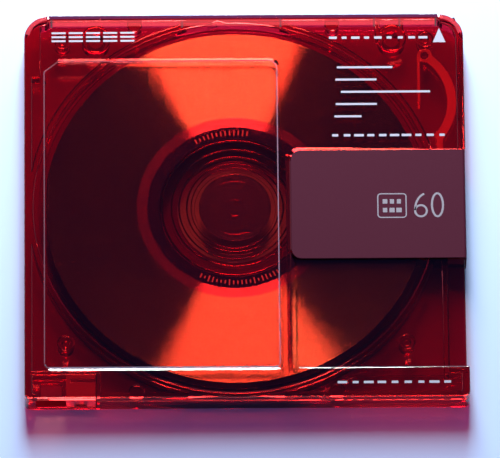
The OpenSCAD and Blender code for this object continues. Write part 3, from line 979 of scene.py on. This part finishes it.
@dataclass
class Case:
    """The two halves of the case, with the print on the upper one."""

    patterns: Patterns
    effects: Effects
    ink: Material
    edge: float = 0.12 * MM
    sink: float = 0.012 * MM
    print_depth: float = 0.009 * MM
    wall: float = 1.2 * MM
    thinned: float = 0.55 * MM  # how far the leading wall's inner face moves out
    chamfer: float = 0.6 * MM
    ledge: float = 0.12 * MM
    rims: tuple = ((5.75, 0.23, -29.2, 26.2), (7.45, -0.23, -29.1, 10.1))  # foot, width and ends, in millimetres
    rim_share: float = 0.25  # what is left of those rims' width
    upper: ClearPlastic = ClearPlastic("UpperShellPlastic", surface=(0.80, 0.2265, 0.209))
    lower: ClearPlastic = ClearPlastic("LowerShellPlastic", surface=(0.78, 0.0795, 0.383))
    top: float = field(init=False)
    lead: float = field(init=False)

    def __post_init__(self) -> None:
        """Reads the height of the upper face and the place of the leading edge from the frame."""
        self.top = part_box("upper_shell")[1].z
        self.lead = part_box("upper_shell")[1].y

    def build(self) -> None:
        """Builds the halves and the print."""
        upper, lower = (half.material(self.effects) for half in (self.upper, self.lower))
        stand_in("upper_shell", "case_upper", self.edge, upper, Body.CASE, self._trim, self._at_ledge)
        stand_in("lower_shell", "case_lower", self.edge, lower, Body.CASE, self._trim)
        self._print()
        self._painted_lights()

    def _at_ledge(self, p: Vector) -> bool:
        """Whether a point belongs to the shallow ledge of the leading edge."""
        return min(p.y - self.lead, p.z - self.top) > -self.chamfer - 0.1 * MM

    def _trim(self, p: Vector) -> Vector:
        """Thins the leading wall, fills its chamfer to a shallow ledge and sinks the upper face for the print.

        Args:
            p: A point of either half.

        Returns:
            The trimmed point.
        """
        q = p.copy()
        if abs(p.y - (self.lead - self.wall)) < 0.01 * MM:
            q.y += self.thinned
        if p.y > self.lead - 0.05 * MM and -self.chamfer - 0.05 * MM < p.z - self.top < 0.2 * MM - self.chamfer:
            q.z = self.top - self.ledge
        if p.z > self.top - self.sink:
            q.z = p.z - self.sink
            for foot, reach, back, front in self.rims:
                out = (p.x / MM - foot) / reach
                if 0.0 < out < 1.0 and back < p.y / MM < front:
                    q.x = (foot + self.rim_share * out * reach) * MM
        return q

    def _print(self) -> None:
        """The print on the upper face: plain blocks, dashes, bars and the arrow of the leading end."""
        z = self.top - self.sink + self.print_depth / 2
        rows = [
            DashRow(13.7, 30.3, 29.75, 0.42, 9, 0.45, 4),
            DashRow(13.8, 33.2, 12.2, 0.42, 10, 0.5, 8),
            DashRow(14.3, 33.4, -31.5, 0.42, 9, 0.5, 12),
        ]
        rows += [DashRow(-31.75, -17.65, y, 0.32, 5, 1.0, 1) for y in (30.85, 30.13, 29.41)]
        bars = ((25.3, 24.4), (22.4, 22.2), (32.0, 20.0), (22.4, 17.8), (19.6, 15.6))
        rows += [DashRow(14.2, right, y, 0.36, 1, 1.0, 20 + i) for i, (right, y) in enumerate(bars)]
        parts = [self.patterns.row(row, z, self.print_depth, self.ink) for row in rows]
        base = (self.top - self.sink) / MM
        arrow = [(31.0, 28.85, base), (33.08, 28.85, base), (32.04, 31.4, base)]
        parts.append(flat_prism("arrow", arrow, self.print_depth))
        settle(joined("case_print", parts), self.ink, Body.CASE)

    def _painted_lights(self) -> None:
        """Painted highlight lines along the rims of the label's and the shutter's recess, and the painted glow of the
        leading wall.
        """
        face = self.top / MM - 0.006
        floor = self.top / MM - 0.194
        cut = [(-32.72 + 0.29 * i, 23.89 + 0.2512 * i, face - 0.0235 * i) for i in range(9)]
        side = [(-32.74, y, face) for y in (-27.9, 0.0, 23.7)]
        turn = [(x, y, floor) for x, y in arc_points(3.95, 24.43, 1.4, 1.4, 90, 0, 8)]
        back_turn = [(x, y, floor) for x, y in arc_points(4.55, -27.82, 0.8, 0.8, 0, -90, 6)]
        # Painted highlights: each rim line is coloured by the light that its side of the rim catches, so each side
        # has its own colour and cover.
        lines = (
            ("side", (0.20, 0.075, 0.12), 0.5, 0.17, side + cut),
            ("top", (0.46, 0.08, 0.14), 0.5, 0.24, [(-30.4, 25.83, floor), (3.95, 25.83, floor)]),
            ("right", (0.34, 0.19, 0.28), 0.5, 0.17, turn + back_turn[:3]),
            ("foot", (0.25, 0.19, 0.28), 0.7, 0.24,
             [(-32.7, -28.1, face), (-32.5, -28.5, face - 0.09), (-32.2, -28.62, floor)] + back_turn[::-1][:4]),
            ("track", (0.20, 0.13, 0.18), 0.7, 0.19, [(8.6, -28.86, face - 0.075), (35.4, -28.86, face - 0.075)]),
            # Painted glow: a bright red band along the leading wall and arcs at its corners, where light from behind
            # shines through the wall.
            ("wall", (0.90, 0.04, 0.05), 0.24, 1.1, [(-31.3, 32.6, face), (31.4, 32.6, face)]),
            *((f"corner_{i}", (0.92, 0.05, 0.09), 0.26, 0.7,
               [(x, y, face) for x, y in arc_points(middle, 30, 3.5, 3.5, a0, a1, 10)])
              for i, (middle, a0, a1) in enumerate(((-32, 95, 170), (32, 85, 10)))),
        )
        for label, colour, cover, width, points in lines:
            finish = PaintedLightStrip(f"FrostedLip_{label}", colour, cover).material(self.effects)
            piece = self.patterns.line(f"lip_{label}", [(points, False)], 0.0, width, 0.01 * MM, finish)
            settle(joined(f"lip_{label}", [piece]), finish, Body.CASE)
        self._lead_band(face)

    def _lead_band(self, face: float) -> None:
        """A band of painted shade along the leading ledge, and strokes of painted shade over the ribs behind the
        leading wall.

        Args:
            face: The height just above the upper face, in millimetres.
        """
        # Painted shade: a dark matte band without gloss where the ledge looks dark.
        finish = PaintedLightStrip("LeadBandSatin", (0.075, 0.012, 0.042), 0.92, 0.0).material(self.effects)
        lead = self.lead / MM
        inner, outer = (lead - 0.6, face - 0.004), (lead - 0.02, face - 0.108)
        band = flat_prism("band", [(-31.9, *inner), (31.9, *inner), (31.9, *outer), (-31.9, *outer)], 0.006 * MM)
        settle(joined("lead_band", [band]), finish, Body.CASE)
        # Painted shade: dark strokes over the ribs, which look dark through the leading wall.
        shade = PaintedLightStrip("LeadRibShade", (0.05, 0.005, 0.015), 0.75).material(self.effects)
        places = (-31.5, -10.07, 6.06, 21.4, 25.6, 31.5)
        paths = [([(x, 31.75), (x, 33.3)], False) for x in places]
        piece = self.patterns.line("ribs", paths, (face + 0.0015) * MM, 0.32, 0.006 * MM, shade)
        settle(joined("lead_ribs", [piece]), shade, Body.CASE)


@dataclass
class Disc:
    """The disc with its coated layer, its ring of marks and the clamping plate."""

    patterns: Patterns
    effects: Effects
    gap: float = 0.01 * MM
    inner: float = 12.3 * MM
    outer: float = field(init=False)
    low: float = field(init=False)
    high: float = field(init=False)
    centre: Vector = field(init=False)

    def __post_init__(self) -> None:
        """Reads the disc's centre and the layer's sizes from the frame."""
        low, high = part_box("recording_layer")
        self.centre = (low + high) / 2
        self.outer = (high.x - low.x) / 2
        self.low, self.high = low.z, high.z

    def build(self) -> None:
        """Builds the disc's pieces."""
        top, gap = self.low, self.gap
        clear = ClearPlastic("DiscPolycarbonate", passes=(0.97, 0.93, 0.94), per=1.2 * MM, roughness=0.01, marks=0.01)
        stand_in("disc_substrate", "disc_body", 0.05 * MM, clear.material(self.effects), Body.DISC,
                 lambda p: Vector((p.x, p.y, p.z - gap)) if p.z > top - gap else p)
        mirror = GroovedMirror("GroovedMirror", self.centre.x).material(self.effects)
        layer = self.patterns.run(self.patterns.ring, "disc_layer", {
            "Inner Radius": self.inner,
            "Outer Radius": self.outer,
            "Thickness": self.high - self.low,
            "Centre": self.centre,
            "Steps": 360,
            "Material": mirror,
        })
        settle(joined("disc_layer", [layer]), mirror, Body.DISC, ["recording_layer"])
        self._marks()
        self._ridges()
        steel = StampedSteel("StampedSteel", self.centre.x).material(self.effects)
        stand_in("clamping_plate", "clamping_plate_steel", 0.05 * MM, steel, Body.DISC,
                 lambda p: p + Vector((0, 0, gap)))

    def _ridges(self) -> None:
        """The fine ridges round the hub and on the clamping plate."""
        gloss = StampedSteel("RidgeGloss", self.centre.x, (0.42, 0.05, 0.085)).material(self.effects)
        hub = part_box("disc_substrate")[1].z - 0.3 * MM
        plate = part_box("clamping_plate")[1].z
        sizes = (
            (1.42, 0.06, plate), (4.75, 0.035, plate), (7.15, 0.09, hub), (7.85, 0.14, hub),
            (9.1, 0.13, hub), (10.35, 0.14, hub), (11.95, 0.18, hub),
        )
        parts = [self.patterns.run(self.patterns.bead, "ridge", {
            "Radius": radius * MM, "Bead": bead * MM, "Centre": (self.centre.x, self.centre.y, z),
            "Material": gloss}) for radius, bead, z in sizes]
        ridges = joined("hub_ridges", parts)
        ridges.data.shade_smooth()
        settle(ridges, gloss, Body.DISC)

    def _marks(self) -> None:
        """Two arcs of ticks on the disc's mirror ring."""
        ink = PrintInk("DiscMarkInk", (0.75, 0.62, 0.66), (0.6, 0.48, 0.52)).material(self.effects)
        parts = []
        for start, sweep, count, seed in ((81.0, 37.0, 13, 5), (245.0, 56.0, 20, 9)):
            parts.append(self.patterns.run(self.patterns.ticks, "ticks", {
                "Count": count,
                "Radius": 13.3 * MM,
                "From": math.radians(start),
                "Sweep": math.radians(sweep),
                "Tick": (1.1 * MM, 0.22 * MM, 0.008 * MM),
                "Centre": (self.centre.x, self.centre.y, self.high + 0.001 * MM),
                "Seed": seed,
                "Material": ink,
            }))
        settle(joined("disc_ring_marks", parts), ink, Body.DISC)


@dataclass
class Shutter:
    """The folded shutter with its print, and the slider inside its fold."""

    patterns: Patterns
    effects: Effects
    ink: Material
    paint: SatinPaint = SatinPaint("ShutterPaint", (0.062, 0.009, 0.022), (0.075, 0.014, 0.03))
    print_depth: float = 0.012 * MM

    def build(self) -> None:
        """Builds the shutter's pieces."""
        stand_in("shutter", "shutter_sheet", 0.06 * MM, self.paint.material(self.effects), Body.SHUTTER)
        plastic = MouldedPlastic("SliderPlastic", (0.12, 0.012, 0.03)).material(self.effects)
        stand_in("shutter_slider", "slider_block", 0.12 * MM, plastic, Body.SHUTTER)
        self._print()

    def _print(self) -> None:
        """A plain frame and a two-figure number on the upper leaf."""
        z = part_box("shutter")[1].z
        frame_path = (rounded_frame(21.55, -2.45, 26.15, 1.75, 0.5), True)
        six = (arc_points(28.55, -1.3, 0.95, 1.0, 0, 360, 24)[:-1], True)
        six_tail = (arc_points(29.6, -1.2, 2.0, 3.0, 180, 104, 10), False)
        nought = (arc_points(31.25, -0.25, 0.9, 2.05, 0, 360, 28)[:-1], True)
        strokes = (("numerals", 0.34, [six, six_tail, nought]), ("plain_frame", 0.2, [frame_path]))
        depth, ink = self.print_depth, self.ink
        parts = [self.patterns.line(name, paths, z, width, depth, ink) for name, width, paths in strokes]
        rows = [DashRow(22.15, 25.55, y, 0.8, 3, 0.7, seed, 0.8) for y, seed in ((0.4, 31), (-1.15, 35))]
        parts += [self.patterns.row(row, z, depth, ink) for row in rows]
        settle(joined("shutter_print", parts), ink, Body.SHUTTER)


@dataclass
class SmallParts:
    """The lock lever and the write-protect tab."""

    effects: Effects

    def build(self) -> None:
        """Builds both parts."""
        parts = (
            ("lock_lever", "lever", Body.LEVER, ClearPlastic(
                "LeverPlastic", passes=(0.99, 0.85, 0.85), surface=(0.95, 0.30, 0.34), haze=0.45, roughness=0.12)),
            ("protect_tab", "tab", Body.TAB, ClearPlastic(
                "TabPlastic", passes=(0.98, 0.7, 0.7), surface=(0.95, 0.24, 0.34), haze=0.35, roughness=0.12)),
        )
        for node, name, body, plastic in parts:
            stand_in(node, name, 0.08 * MM, plastic.material(self.effects), body)


# The studio


@dataclass
class Studio:
    """A pale table under soft boxes, seen by the camera at the photograph's angle."""

    effects: Effects
    target: Vector = field(default_factory=lambda: Vector((0.726, -3.311, 2.5)) * MM)
    azimuth: float = math.radians(-1.596)
    elevation: float = math.radians(66.307)
    roll: float = math.radians(1.119)
    distance: float = 1588.16 * MM
    focal_pixels: float = 9753.65
    frame_width: int = 500
    window_rows: int = 6
    window_row: float = 0.06  # height of one row of the tapered window, in metres
    window_power: float = 112.0  # watts per square metre

    def build(self) -> None:
        """Builds the camera, the table, the lights and the surroundings."""
        self._camera()
        self._table()
        self._world()
        for row in range(self.window_rows):
            place = Vector((-0.0074, 0.30, 0.085 + self.window_row * row))
            width, height = 0.1866 - 0.23 * place.z, self.window_row * place.y / place.length
            power = self.window_power * width * height
            self._light(f"window_{row}", place, place.length, (width, height), power, (0.88, 0.96, 1.0))
        self._light("near_box", (0.0, -0.52, 0.85), 1.0, (0.50, 0.45), 0.1, (0.85, 0.92, 1.0))
        bpy.context.scene.view_settings.view_transform = "Standard"

    def _camera(self) -> None:
        """Creates the camera from the fitted view."""
        az, el = self.azimuth, self.elevation
        back = Vector((math.sin(az) * math.cos(el), -math.cos(az) * math.cos(el), math.sin(el)))
        right = (-back).cross(Vector((0, 0, 1))).normalized()
        up = right.cross(-back)
        c, s = math.cos(self.roll), math.sin(self.roll)
        side, top = right * c + up * s, up * c - right * s
        data = bpy.data.cameras.new("camera")
        data.sensor_width = 36.0
        data.sensor_fit = "HORIZONTAL"
        data.lens = data.sensor_width * self.focal_pixels / self.frame_width
        data.clip_start = 0.05
        data.clip_end = 50.0
        obj = link_object("camera", data)
        turn = Matrix((side, top, back)).transposed().to_4x4()
        obj.matrix_world = Matrix.Translation(self.target + back * self.distance) @ turn
        bpy.context.scene.camera = obj

    def _table(self) -> None:
        """Creates the round table top just under the case."""
        bm = bmesh.new()
        bmesh.ops.create_circle(bm, cap_ends=True, radius=4.0, segments=96)
        for vert in bm.verts:
            vert.co.z = -0.02 * MM
        table = object_from(bm, "table")
        table.data.materials.append(StudioFloor("TableTop").material(self.effects))

    def _world(self) -> None:
        """Creates dim surroundings with a bright rim at the horizon."""
        world = bpy.data.worlds.new("studio")
        world.use_nodes = True
        bpy.context.scene.world = world
        g = Graph(world.node_tree)
        coords = g.add("ShaderNodeTexCoord").outputs["Generated"]
        split = g.add("ShaderNodeSeparateXYZ", {0: coords})
        height = g.maths("MULTIPLY", g.maths("ABSOLUTE", split.outputs["Z"]), 3.2, clamp=True)
        sky = g.mix(g.maths("POWER", height, 0.6), (0.75, 0.84, 0.98), (0.034, 0.026, 0.13))
        background = g.add("ShaderNodeBackground", {"Color": sky})
        g.add("ShaderNodeOutputWorld", {"Surface": background.outputs[0]})

    @staticmethod
    def _light(name: str, direction: tuple, distance: float, size: tuple, power: float, colour: Colour) -> None:
        """Creates a rectangular soft box that faces the case.

        Args:
            name: The light's name.
            direction: From the case towards the light.
            distance: How far away it is, in metres.
            size: Its width and height in metres.
            power: Its power in watts.
            colour: Its colour.
        """
        data = bpy.data.lights.new(name, "AREA")
        data.shape = "RECTANGLE"
        data.size, data.size_y = size
        data.energy = power
        data.color = colour
        obj = link_object(name, data)
        back = Vector(direction).normalized()
        side = Vector((0, 0, 1)).cross(back).normalized()
        up = back.cross(side)
        obj.matrix_world = Matrix.Translation(back * distance) @ Matrix((side, up, back)).transposed().to_4x4()
        obj.visible_camera = False


def main() -> None:
    """Builds the studio and the cartridge in order."""
    effects = Effects()
    patterns = Patterns()
    ink = PrintInk("PrintInk", (0.38, 0.36, 0.45), (0.31, 0.29, 0.38)).material(effects)
    soft_ink = PrintInk("ShutterInk", (0.22, 0.19, 0.23), (0.17, 0.15, 0.18)).material(effects)
    Studio(effects).build()
    shared = (patterns, effects)
    for part in (Case(*shared, ink), Disc(*shared), Shutter(*shared, soft_ink), SmallParts(effects)):
        part.build()
        log.info("built %s", type(part).__name__)


if __name__ == "__main__":
    main()
